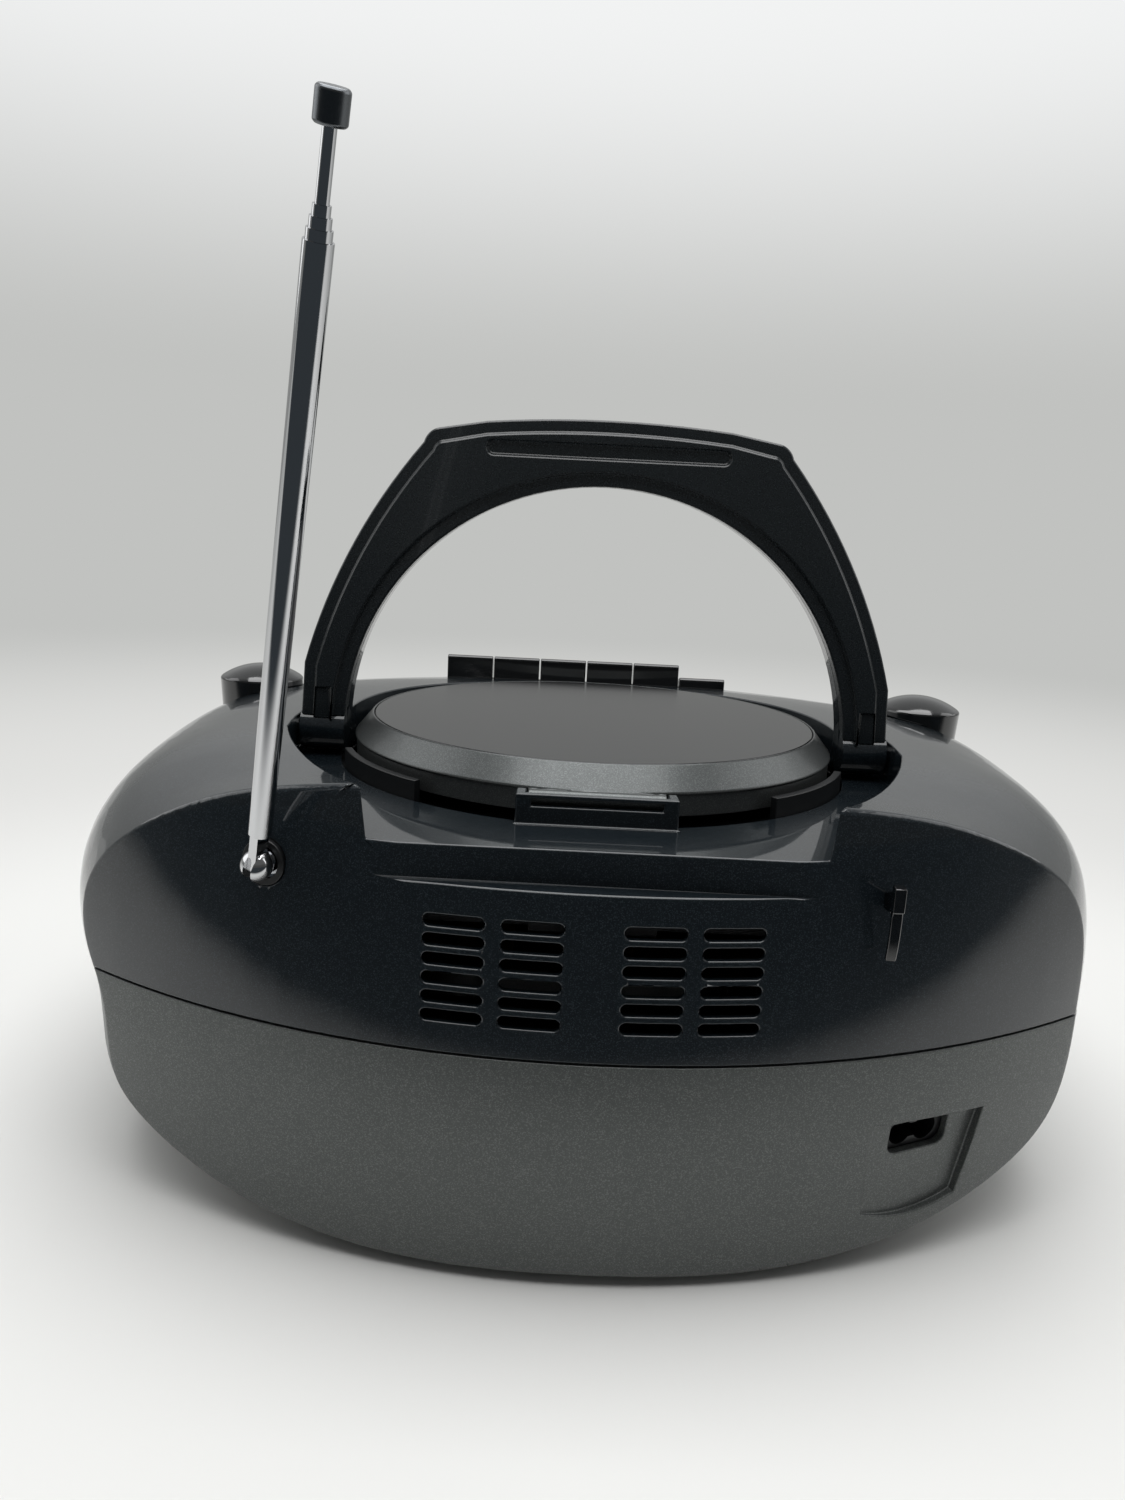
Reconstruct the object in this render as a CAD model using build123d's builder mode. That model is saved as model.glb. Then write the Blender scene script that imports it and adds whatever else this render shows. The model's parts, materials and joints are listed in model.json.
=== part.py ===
from build123d import *
from math import asin, cos, degrees, pi, radians, sin, sqrt
import os

os.makedirs("parts", exist_ok=True)

# A portable CD cassette radio. Millimetres, +Z up, the front faces -Y and the back faces +Y.
# The origin is on the floor, at the middle of the whole part with its handle and antenna up.
# Places along the depth are given as d, the distance forward from the middle of the back.

# Casing
body_width = 320.0
body_depth = 242.0
seam_height = 70.0
upper_height = 69.0
lower_height = 67.5
wall = 2.4
seam_groove = 0.6
groove_depth = 1.2
rear_radius = 260.0
rear_bow = 380.0
front_radius = 300.0
front_bow = 520.0
crease_radius = 2.0
tall = 600.0
front_band = 9.0
panel_gap = 0.3
# Depth, width and height of each cross-section as shares of the casing's, and how square it is
casing_sections = (
    (-0.020, 0.620, 0.970, 4.0),
    (0.073, 0.768, 0.990, 3.8),
    (0.121, 0.838, 0.995, 3.4),
    (0.181, 0.903, 1.000, 3.4),
    (0.277, 0.966, 1.000, 4.0),
    (0.450, 1.000, 1.000, 4.7),
    (0.660, 0.985, 0.995, 5.2),
    (0.830, 0.925, 0.970, 4.4),
    (0.940, 0.850, 0.930, 3.8),
    (1.060, 0.750, 0.870, 3.4),
)
section_points = 16

# Folding handle
handle_d = 106.7
handle_pivot_height = 132.6
handle_thickness = 14.4
handle_reach = 83.0
handle_top = 235.9
handle_corner = (56.3, 230.4)
handle_shoulder = (82.5, 190.6)
handle_knee = (96.3, 155.0)
handle_half_width = 97.6
handle_dip_x = 38.6
leg_field_top = 147.0
handle_bevel_width = 4.2
handle_wall = 2.4
grip_length = 77.0
grip_height = 4.6
grip_depth = 1.4
grip_below_top = 9.7
pivot_pin_r = 2.5
running_gap = 0.05
channel_gap = 1.3
handle_step = 1.6

# Recess for the folded handle, finger scoop and vents in the back
floor_height = 123.8
floor_wall = 2.4
notch_half_width = 57.4
notch_spread = 3.2
scoop_ledge = 114.5
scoop_d = 8.8
vent_length = 15.9
vent_height = 3.2
vent_pitch = 5.02
vent_rows = 6
vent_top = 105.0
vent_columns = (-35.5, -15.5, 15.5, 35.5)

# CD lid and deck
lid_d = 116.8
lid_r = 80.8
lid_disc_r = 74.5
lid_top = 139.2
lid_bevel_bottom = 132.4
lid_skirt_bottom = 125.4
lid_skirt_r = 80.3
lid_wall = 2.2
lid_plate = 1.6
lip_width = 22.0
lip_depth = 2.4
deck_gap = 2.5
collar_inner_r = 82.6
collar_outer_r = 85.0
collar_top = 129.6
collar_start = 38.0
collar_end = 71.0
hinge_d = 36.0
hinge_height = 130.2
hinge_pin_r = 1.2
hinge_barrel_r = 2.2
hinge_arm_half = 19.0
hinge_ear_half = 22.3
hinge_block_top = 132.2
disc_well_r = 61.5
disc_well_depth = 3.0
deck_plate = 2.0
turntable_r = 15.0
spindle_r = 1.2
guide_rod_r = 1.5
disc_height = 122.5
sled_travel = 24.0

# Cassette section
key_pitch = 20.0
key_shift = 1.2
key_gap = 0.6
key_length = 20.3
key_rear_d = 210.2
key_top = 145.6
key_height = 18.0
key_slope = 4.0
key_travel = 5.3
key_wall = 1.6
stem_half = 3.0
stem_d = 214.0
stem_bottom = 107.0
key_names = ("pause_key", "stop_key", "forward_key", "rewind_key", "play_key", "record_key")
chassis_back_d = 219.0
chassis_face_d = 221.0
chassis_half = 59.0
chassis_low = 20.0
guide_top = 118.0
guide_bottom = 116.0
reel_spacing = 42.5
reel_height = 58.0
capstan_x = -12.0
capstan_height = 80.0
capstan_r = 1.1
flywheel_r = 19.5
reel_shaft_r = 1.5
head_carrier_half = 22.0
door_half = 54.5
door_low = 22.5
door_high = 93.5
door_gap = 0.5
door_swing_gap = 3.4
door_thickness = 3.0
door_hinge_d = 230.0
door_hinge_height = 25.5
door_pin_r = 1.5

# Controls
knob_x = 130.0
knob_d = 172.0
knob_r = 15.8
knob_foot_r = 15.1
knob_floor = 125.5
knob_rim = 138.9
knob_crown = 143.5
knob_gap = 0.6
shaft_r = 3.0
button_r = 4.2
button_x = (46.0, 60.0)
button_height = 112.0
button_stand = 1.2
button_names = ("skip_back_button", "skip_forward_button", "stop_button", "play_button")
window_half = 32.5
window_half_height = 9.0
window_middle = 114.0
switch_x = 90.0
switch_height = 114.0
switch_half_travel = 5.0

# Sound and electrics
speaker_x = 98.0
speaker_height = 66.0
speaker_r = 36.0
speaker_face_d = 203.0
grille_r = 34.0
grille_pitch = 6.2
grille_slot = 2.6
inlet_x = -95.0
inlet_height = 42.3
inlet_depth = 2.4
inlet_lean = 5.0
inlet_tilt = 3.0
inlet_half = 10.2
inlet_half_height = 4.8
inlet_mouth = 6.0
inlet_pin_spacing = 8.6
inlet_pin_r = 1.2
battery_half = 76.0
battery_low_d = 42.0
battery_high_d = 98.0
battery_ceiling = 40.0
board_height = 46.0
board_posts = ((68.0, 111.0), (-68.0, 111.0), (68.0, 169.0), (-68.0, 169.0))
transformer_x = -98.5
transformer_seat = 14.5
ferrite_r = 4.0

# Feet and screws
foot_r = 8.0
foot_height = 2.5
foot_sink = 0.7
foot_places = ((95.0, 58.0), (-95.0, 58.0), (95.0, 184.0), (-95.0, 184.0))
screw_places = ((147.0, 92.0), (-147.0, 92.0), (147.0, 150.0), (-147.0, 150.0))

# Antenna clip
clip_x = -76.1
clip_height = 112.5
clip_reach = 8.7
clip_width = 3.0
clip_block_height = 6.4
clip_block_depth = 2.9
clip_drop = 13.6

# Antenna
antenna_x = 86.8
antenna_height = 114.0
antenna_stand = 3.1
antenna_lean = (-0.185, 0.352, 0.917)
antenna_ball_r = 4.3
antenna_ring_r = 6.3
swivel_r = 5.2
socket_screw_r = 1.6
tongue_r = 2.4
tongue_thickness = 2.4
tilt_pin_r = 0.9
antenna_start = 11.0
antenna_tube_end = 151.7
section_step = 2.05
antenna_diameters = (6.0, 5.1, 4.3, 3.5, 2.7)
tube_wall = 0.35
rod_shown = 12.6
cap_length = 6.2
cap_r = 3.2

# The antenna reaches behind the casing, so it sets where the casing stands about the origin
antenna_root_d = antenna_x ** 2 / (2 * rear_radius) + (antenna_height - seam_height) ** 2 / (2 * rear_bow)
antenna_swing = degrees(asin(antenna_x / rear_radius))
lean_length = sqrt(sum(c * c for c in antenna_lean))
lean = Vector(*antenna_lean) / lean_length
face_normal = Vector(sin(radians(antenna_swing)), cos(radians(antenna_swing)), 0)
antenna_tip = antenna_tube_end + 3 * section_step + rod_shown + cap_length
tip_reach = lean.Y * antenna_tip + cap_r * sqrt(1 - lean.Y ** 2) + face_normal.Y * antenna_stand
rear_overhang = tip_reach - antenna_root_d
rear_y = (body_depth - rear_overhang) / 2


def at(d):
    """Y of a place d forward from the middle of the back."""
    return rear_y - d


def save(piece, name):
    piece.part.label = name
    export_step(piece.part, "parts/" + name + ".step")


def section_outline(share, height_share, squareness, inset):
    """Points of one cross-section: a rounded oblong, flatter at the sides as squareness grows."""
    points = []
    for i in range(section_points):
        turn = 2 * pi * i / section_points
        across = abs(cos(turn)) ** (2 / squareness) * (1 if cos(turn) >= 0 else -1)
        upward = abs(sin(turn)) ** (2 / squareness) * (1 if sin(turn) >= 0 else -1)
        height = upper_height if upward >= 0 else lower_height
        x = across * (share * body_width / 2 - inset)
        points.append((x, seam_height + upward * (height_share * height - inset)))
    return points


def barrel(center_y, radius, bow):
    """A solid of revolution whose side bulges both ways, as the back and the front do."""
    reach = upper_height + 40
    drop = reach ** 2 / (2 * bow)
    with BuildPart(mode=Mode.PRIVATE) as bulge:
        with BuildSketch(Plane.XZ):
            with BuildLine():
                ThreePointArc((radius - drop, -reach), (radius, 0), (radius - drop, reach))
                Polyline((radius - drop, reach), (0, reach), (0, -reach), (radius - drop, -reach))
            make_face()
        revolve(axis=Axis.Z)
    return bulge.part.moved(Location((0, center_y, seam_height)))


def rear_barrel(inset):
    return barrel(at(rear_radius), rear_radius - inset, rear_bow)


def front_barrel(inset):
    return barrel(at(body_depth - front_radius), front_radius - inset, front_bow)


def make_hull(inset):
    """The egg-shaped casing as one solid, its skin moved in by inset."""
    rear_limit = rear_barrel(inset)
    front_limit = front_barrel(inset)
    with BuildPart() as hull:
        for depth_share, share, height_share, squareness in casing_sections:
            with BuildSketch(Plane.XZ.offset(-at(depth_share * body_depth))):
                with BuildLine():
                    outline = section_outline(share, height_share, squareness, inset)
                    Spline(*outline, periodic=True)
                make_face()
        loft()
        add(rear_limit, mode=Mode.INTERSECT)
        add(front_limit, mode=Mode.INTERSECT)
    return hull.part


def brick(across, deep, tall):
    return Box(across, deep, tall, mode=Mode.PRIVATE)


def drum(radius, length):
    return Cylinder(radius, length, mode=Mode.PRIVATE)


def block(low, high):
    """A plain box between two corners, given as x, d and height."""
    size = [abs(b - a) for a, b in zip(low, high)]
    middle = [(a + b) / 2 for a, b in zip(low, high)]
    return Pos(middle[0], at(middle[1]), middle[2]) * brick(*size)


def post(x, d, low, high, radius):
    """An upright cylinder."""
    return Pos(x, at(d), (low + high) / 2) * drum(radius, high - low)


def rod_back(x, height, near_d, far_d, radius):
    """A cylinder that runs from back to front."""
    turned = Pos(x, at((near_d + far_d) / 2), height) * Rot(90, 0, 0)
    return turned * drum(radius, far_d - near_d)


bare_hull = make_hull(0)
bare_cavity = make_hull(wall)
bare_groove = make_hull(groove_depth)
with BuildPart() as hull_body:
    add(bare_hull)
    rear_face = hull_body.faces().sort_by(Axis.Y)[-1]
    fillet(rear_face.edges(), radius=crease_radius)
    front_face = hull_body.faces().sort_by(Axis.Y)[0]
    fillet(front_face.edges(), radius=crease_radius)

seam_plane = Plane.XY.offset(seam_height)
panel_split = front_barrel(front_band)
cabinet_split = front_barrel(front_band + panel_gap)
with BuildPart() as cabinet_body:
    add(hull_body.part)
    add(cabinet_split, mode=Mode.INTERSECT)
upper_hull = split(cabinet_body.part, seam_plane, keep=Keep.TOP)
lower_hull = split(cabinet_body.part, seam_plane, keep=Keep.BOTTOM)
upper_cavity = split(bare_cavity, seam_plane, keep=Keep.TOP)
lower_cavity = split(bare_cavity, seam_plane, keep=Keep.BOTTOM)


def back_place(x, height):
    """A place on the back: x to the left as seen from the front, y up, z straight out of the face."""
    swing = asin(x / rear_radius)
    root_d = rear_radius * (1 - cos(swing)) + (height - seam_height) ** 2 / (2 * rear_bow)
    outward = (sin(swing), cos(swing), 0)
    return Plane(origin=(x, at(root_d), height), x_dir=(-cos(swing), sin(swing), 0), z_dir=outward)


def front_place(x, height):
    """A place on the front: x to the right as seen from the front, y up, z straight out."""
    swing = asin(x / front_radius)
    root_d = body_depth - front_radius * (1 - cos(swing))
    root_d = root_d - (height - seam_height) ** 2 / (2 * front_bow)
    outward = (sin(swing), -cos(swing), 0)
    return Plane(origin=(x, at(root_d), height), x_dir=(cos(swing), sin(swing), 0), z_dir=outward)


def folded_d(height):
    """Depth of a point of the upright handle once the handle lies back."""
    return handle_d - (height - handle_pivot_height)


# Recess for the folded handle, and the tub of material round it
leg_front_d = handle_d + handle_thickness / 2 + channel_gap
channel_x = handle_half_width + channel_gap
handle_low = handle_d - handle_thickness / 2
far_out = -12


def recess_plan(grow):
    """Plan of everything that is open above the recess floor, grown by a margin."""
    corner = (notch_half_width, at(folded_d(handle_corner[1])))
    shoulder = (handle_shoulder[0] + channel_gap, at(folded_d(handle_shoulder[1])))
    knee = (handle_knee[0] + channel_gap, at(folded_d(handle_knee[1])))
    with BuildSketch() as plan:
        with BuildLine():
            Line((notch_half_width, at(far_out)), corner)
            ThreePointArc(corner, shoulder, knee)
            Line(knee, (channel_x, at(handle_low)))
            Line((channel_x, at(handle_low)), (channel_x, at(leg_front_d)))
            Line((channel_x, at(leg_front_d)), (0, at(leg_front_d)))
            Line((0, at(leg_front_d)), (0, at(far_out)))
            Line((0, at(far_out)), (notch_half_width, at(far_out)))
        make_face()
        mirror(about=Plane.YZ)
        with Locations((0, at(lid_d))):
            Circle(lid_r + deck_gap)
        if grow > 0:
            offset(amount=grow, kind=Kind.INTERSECTION)
    return plan.sketch


recess_outline = recess_plan(0)
tub_outline = recess_plan(floor_wall)
rim_top = seam_height + upper_height + 5

with BuildPart() as recess:
    with BuildSketch(Plane.XY.offset(floor_height)):
        add(recess_outline)
    extrude(amount=upper_height)
    with BuildSketch(Plane.XZ.offset(-at(far_out))):
        Polygon(
            (-notch_half_width, floor_height),
            (notch_half_width, floor_height),
            (notch_half_width + notch_spread, rim_top),
            (-notch_half_width - notch_spread, rim_top),
            align=None,
        )
    extrude(amount=28)
    add(block((-60, far_out, scoop_ledge), (60, scoop_d, floor_height + 1)))
    add(post(0, lid_d, floor_height - 10, floor_height + 1, collar_outer_r + panel_gap))

with BuildPart() as tub:
    with BuildSketch(Plane.XY.offset(floor_height - floor_wall)):
        add(tub_outline)
    extrude(amount=upper_height)
    add(block((-62, far_out, scoop_ledge - wall), (62, scoop_d + wall, floor_height)))

antenna_place = back_place(antenna_x, antenna_height)
inlet_place = back_place(inlet_x, inlet_height)
clip_place = back_place(clip_x, clip_height)
pocket_place = inlet_place.location * Location((0, 0, -inlet_depth), (inlet_lean, inlet_tilt, 0))


# Upper cabinet
inside_posts = []
drills = []
for side in (-1, 1):
    # Cups for the two knobs
    cup_r = knob_r + knob_gap
    inside_posts.append(post(side * knob_x, knob_d, knob_floor - wall, knob_crown, cup_r + wall))
    drills.append(post(side * knob_x, knob_d, knob_floor, knob_crown + 20, cup_r))
    drills.append(post(side * knob_x, knob_d, seam_height + 30, knob_crown, shaft_r + knob_gap))
    # Bosses that hold the handle's pins
    pin_place = Pos(side * (channel_x + 5), at(handle_d), handle_pivot_height) * Rot(0, 90, 0)
    inside_posts.append(pin_place * drum(pivot_pin_r + 3.5, 10))
    pin_place = Pos(side * channel_x, at(handle_d), handle_pivot_height) * Rot(0, 90, 0)
    drills.append(pin_place * drum(pivot_pin_r + running_gap, 16))
    # Brackets of the ferrite rod
    inside_posts.append(block((side * 49 - 2, 0, 96), (side * 49 + 2, 27, 110)))
for x, d in screw_places:
    wall_x = x + 14 * (1 if x > 0 else -1)
    inside_posts.append(post(x, d, seam_height - 1, seam_height + 24, 5))
    inside_posts.append(block((x, d - 3, seam_height - 1), (wall_x, d + 3, seam_height + 24)))
    drills.append(post(x, d, seam_height - 1, seam_height + 20, 1.45))
drills.append(Pos(0, at(21), 103) * Rot(0, 90, 0) * drum(ferrite_r + running_gap, 110))
drills.append(antenna_place.location * Pos(0, 0, -1) * drum(antenna_ring_r + running_gap, 12))
# Opening for the keys
keys_low = (key_shift - 3 * key_pitch - key_gap, key_rear_d - key_gap, guide_top + 5)
keys_high = (key_shift + 3 * key_pitch + key_gap, key_rear_d + key_length + key_gap, key_top + 20)
drills.append(block(keys_low, keys_high))

with BuildPart() as upper_hollow:
    add(upper_cavity)
    add([tub.part] + inside_posts, mode=Mode.SUBTRACT)

with BuildPart() as vents:
    with BuildSketch(Plane.XZ.offset(-at(-5))):
        for column in vent_columns:
            for row in range(vent_rows):
                with Locations((column, vent_top - row * vent_pitch)):
                    SlotOverall(vent_length, vent_height)
    extrude(amount=15)

with BuildPart() as upper_cabinet:
    add(upper_hull)
    add([upper_hollow.part, recess.part, vents.part] + drills, mode=Mode.SUBTRACT)
    # Block in front of the lid's hinge, with its slot
    block_low = (-hinge_ear_half, hinge_d - 5, floor_height - 1)
    add(block(block_low, (hinge_ear_half, hinge_d - 2.8, hinge_block_top)))
    for side in (-1, 1):
        ear_low = (side * (hinge_arm_half + 0.4), hinge_d - 5, floor_height - 1)
        add(block(ear_low, (side * hinge_ear_half, hinge_d + 1.8, hinge_block_top)))
    slot_low = (-hinge_arm_half + 1, hinge_d - 6, hinge_block_top - 3.4)
    slot_high = (hinge_arm_half - 1, hinge_d - 2, hinge_block_top - 1.3)
    pin_hole = Pos(0, at(hinge_d), hinge_height) * Rot(0, 90, 0)
    pin_bore = pin_hole * drum(hinge_pin_r + running_gap / 2, 2 * hinge_ear_half - 1)
    add([block(slot_low, slot_high), pin_bore], mode=Mode.SUBTRACT)
save(upper_cabinet, "upper_cabinet")

# Lower cabinet
floor_features = []
floor_drills = []
floor_pads = []
for x, d in foot_places:
    floor_pads.append(post(x, d, foot_height, foot_height + 6, foot_r + 1.6))
    floor_drills.append(post(x, d, -1, foot_height + foot_sink, foot_r + 0.1))
for x, d in screw_places:
    wall_x = x + 14 * (1 if x > 0 else -1)
    floor_features.append(post(x, d, 0, seam_height - seam_groove, 5))
    floor_features.append(block((x, d - 3, 20), (wall_x, d + 3, seam_height - seam_groove)))
    floor_drills.append(post(x, d, -1, seam_height - 6, 3.2))
    floor_drills.append(post(x, d, -1, seam_height + 1, 1.7))
bay_low = (-battery_half - wall, battery_low_d - wall, 0)
bay_high = (battery_half + wall, battery_high_d + wall, battery_ceiling)
floor_features.append(block(bay_low, bay_high))
bay_room = block((-battery_half, battery_low_d, 5.8), (battery_half, battery_high_d, battery_ceiling - wall))
door_x = battery_half - 1.6
hatch = block((-door_x, battery_low_d + 1.6, -1), (door_x, battery_high_d - 1.6, 6))
floor_drills.append(bay_room)
floor_drills.append(hatch)
for x, d in board_posts:
    floor_features.append(post(x, d, 0, board_height, 4))
floor_features.append(block((transformer_x - 16, 43, 0), (transformer_x + 16, 84, transformer_seat)))
for x in (-42, 42):
    # Ribs that the tape chassis stands on
    floor_features.append(block((x - 2, key_rear_d + 3, 0), (x + 2, chassis_face_d + 0.5, chassis_low)))

pocket_points = ((-18.7, 6.6), (20.4, 6.3), (16.0, -21.4), (0.0, -24.9), (-16.2, -22.2))
with BuildSketch() as pocket_sketch:
    with BuildLine():
        Line(pocket_points[0], pocket_points[1])
        Line(pocket_points[1], pocket_points[2])
        ThreePointArc(pocket_points[2], pocket_points[3], pocket_points[4])
        Line(pocket_points[4], pocket_points[0])
    make_face()
with BuildSketch() as inlet_sketch:
    Rectangle(2 * inlet_half, 2 * inlet_half_height)
    lower_corners = inlet_sketch.vertices().group_by(Axis.Y)[0]
    fillet(lower_corners, radius=3.4)
with BuildPart() as pocket:
    with BuildSketch(pocket_place):
        add(pocket_sketch.sketch)
    extrude(amount=12)
    with BuildSketch(pocket_place):
        add(inlet_sketch.sketch)
    extrude(amount=-8)
with BuildPart() as pocket_pad:
    with BuildSketch(pocket_place * Location((0, 0, -wall))):
        add(pocket_sketch.sketch)
        offset(amount=wall, kind=Kind.INTERSECTION)
    extrude(amount=14)

with BuildPart() as lower_hollow:
    add(lower_cavity)
    add([pocket_pad.part] + floor_features, mode=Mode.SUBTRACT)
groove_slab = block((-tall, -tall, seam_height - seam_groove), (tall, tall, seam_height + 1))
with BuildPart() as groove_ring:
    add(groove_slab)
    add(bare_groove, mode=Mode.SUBTRACT)
with BuildPart() as lower_cabinet:
    add([lower_hull] + floor_pads)
    add([lower_hollow.part, pocket.part, groove_ring.part] + floor_drills, mode=Mode.SUBTRACT)
save(lower_cabinet, "lower_cabinet")

with BuildPart() as battery_door:
    add(lower_hull)
    door_edge = door_x - panel_gap
    door_low_place = (-door_edge, battery_low_d + 1.6 + panel_gap, -1)
    add(block(door_low_place, (door_edge, battery_high_d - 1.6 - panel_gap, 5.5)), mode=Mode.INTERSECT)
save(battery_door, "battery_door")

# Front panel
slot_rows = int(2 * grille_r / grille_pitch)
with BuildSketch() as grille_sketch:
    for side in (-1, 1):
        for row in range(slot_rows + 1):
            rise = (row - slot_rows / 2) * grille_pitch
            reach = sqrt(max(grille_r ** 2 - rise ** 2, 0))
            if reach > grille_slot:
                with Locations((side * speaker_x, speaker_height + rise)):
                    Rectangle(2 * reach, grille_slot)
with BuildPart() as grille:
    with BuildSketch(Plane.XZ.offset(-at(body_depth - 45))):
        add(grille_sketch.sketch)
    extrude(amount=60)

panel_cuts = [grille.part]
for side in (-1, 1):
    for x in button_x:
        panel_cuts.append(rod_back(side * x, button_height, body_depth - 30, body_depth + 10, button_r + 0.3))
    slider = front_place(side * switch_x, switch_height)
    slot_length = 2 * switch_half_travel + 3.4
    panel_cuts.append(slider.location * Pos(0, 0, 0) * brick(slot_length, 2.4, 12))
window_low = (-window_half, body_depth - 12, window_middle - window_half_height)
window_high = (window_half, body_depth + 10, window_middle + window_half_height)
panel_cuts.append(block(window_low, window_high))
hatch_low = (-door_half - door_gap, body_depth - 30, door_low - door_swing_gap)
panel_cuts.append(block(hatch_low, (door_half + door_gap, body_depth + 10, door_high + door_gap)))
panel_cuts.append(block(keys_low, keys_high))

with BuildPart() as panel_room:
    add(bare_cavity)
    add(panel_split, mode=Mode.SUBTRACT)
with BuildPart() as front_panel:
    add(hull_body.part)
    add(panel_split, mode=Mode.SUBTRACT)
    add([panel_room.part] + panel_cuts, mode=Mode.SUBTRACT)
    for side in (-1, 1):
        # Tube that carries the speaker, and the bearing of the cassette door
        tube = rod_back(side * speaker_x, speaker_height, speaker_face_d, body_depth, speaker_r + 1.4)
        bore = rod_back(side * speaker_x, speaker_height, speaker_face_d - 1, body_depth + 1, speaker_r - 0.6)
        add((tube - bore) & front_barrel(wall / 2))
        lug_x = side * (door_half + door_gap)
        lug = block((lug_x, door_hinge_d - 3.2, door_hinge_height - 5), (lug_x + side * 4, body_depth, 32))
        add(lug & front_barrel(wall / 2))
        pin_place = Pos(lug_x + side * 2, at(door_hinge_d), door_hinge_height) * Rot(0, 90, 0)
        add(pin_place * drum(door_pin_r + running_gap, 8), mode=Mode.SUBTRACT)
        stud = rod_back(side * (chassis_half - 5), door_high + 6.5, chassis_face_d, body_depth, 2.5)
        add(stud & front_barrel(wall / 2))
save(front_panel, "front_panel")


# Handle: a front and a rear shell
corner_x, corner_z = handle_corner
shoulder_x, shoulder_z = handle_shoulder
knee_x, knee_z = handle_knee


def handle_plan(margin, foot):
    """Face of the handle seen from behind, drawn in by a margin and ending at the height foot."""
    edge_z = handle_top - 1.9 - margin
    right = [
        (handle_dip_x, edge_z),
        (corner_x - 2.4 - margin * 0.5, corner_z + 0.9 - margin),
        (corner_x + 0.6 - margin * 0.75, corner_z - 0.8 - margin * 0.75),
        (corner_x + 2.2 - margin * 0.8, corner_z - 3.6 - margin * 0.6),
        (shoulder_x - margin * 0.89, shoulder_z - margin * 0.46),
        (knee_x - margin, knee_z - margin * 0.14),
        (handle_half_width - margin, foot),
    ]
    left = [(-x, z) for x, z in right]
    reach = handle_reach + margin
    foot_reach = sqrt(reach ** 2 - (foot - handle_pivot_height) ** 2)
    with BuildSketch(Plane.XZ) as plan:
        with BuildLine():
            ThreePointArc(left[0], (0, handle_top - margin), right[0])
            for points in (right, left):
                Line(points[0], points[1])
                ThreePointArc(points[1], points[2], points[3])
                ThreePointArc(points[3], points[4], points[5])
                Line(points[5], points[6])
            Line(right[6], (foot_reach, foot))
            Line(left[6], (-foot_reach, foot))
            arch_top = (0, handle_pivot_height + reach)
            ThreePointArc((foot_reach, foot), arch_top, (-foot_reach, foot))
        make_face()
    return plan.sketch


handle_outline = handle_plan(0, handle_pivot_height)
handle_panel = handle_plan(handle_bevel_width, handle_pivot_height)
handle_inside = handle_plan(handle_wall, handle_pivot_height + 9)
half_thick = handle_thickness / 2
mid_plane = Plane.XZ.offset(-at(handle_d))
leg_half = (handle_half_width - handle_reach) / 2
leg_x = handle_reach + leg_half


def hub(side, radius, length):
    place = Pos(side * leg_x, at(handle_d), handle_pivot_height) * Rot(0, 90, 0)
    return place * drum(radius, length)


with BuildPart() as handle_front:
    with BuildSketch(mid_plane):
        add(handle_outline)
    extrude(amount=half_thick)
    with BuildSketch(mid_plane):
        add(handle_inside)
    extrude(amount=half_thick - handle_wall, mode=Mode.SUBTRACT)
    add([hub(-1, half_thick, 2 * leg_half), hub(1, half_thick, 2 * leg_half)])
    for side in (-1, 1):
        pin_x = side * (handle_half_width + (channel_gap + 8) / 2)
        pin_place = Pos(pin_x, at(handle_d), handle_pivot_height) * Rot(0, 90, 0)
        add(pin_place * drum(pivot_pin_r, channel_gap + 8))
save(handle_front, "handle_front")

with BuildPart() as handle_rear:
    with BuildSketch(mid_plane):
        add(handle_outline)
    extrude(amount=-(half_thick - handle_step))
    with BuildSketch(mid_plane):
        add(handle_panel)
    extrude(amount=-half_thick)
    with BuildSketch(mid_plane):
        add(handle_inside)
    extrude(amount=-(half_thick - handle_wall - handle_step), mode=Mode.SUBTRACT)
    hub_rooms = [hub(-1, half_thick + running_gap, 30), hub(1, half_thick + running_gap, 30)]
    leg_foot = block((-tall, handle_low - 1, 0), (tall, handle_d + 1, handle_pivot_height + 3.5))
    add(hub_rooms + [leg_foot], mode=Mode.SUBTRACT)
    grip_z = handle_top - grip_below_top
    back_plane = Plane.XZ.offset(-at(handle_d - half_thick))
    with BuildSketch(back_plane):
        with Locations((0, grip_z)):
            SlotOverall(grip_length, grip_height)
    extrude(amount=grip_depth, mode=Mode.SUBTRACT)
    # Lowered fields at the feet of both legs
    for side in (-1, 1):
        low = (side * (handle_reach + 4.6), handle_low - 1, handle_pivot_height)
        high = (side * (handle_half_width - 3.4), handle_low + 1.0, leg_field_top)
        add(block(low, high), mode=Mode.SUBTRACT)
save(handle_rear, "handle_rear")


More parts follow.
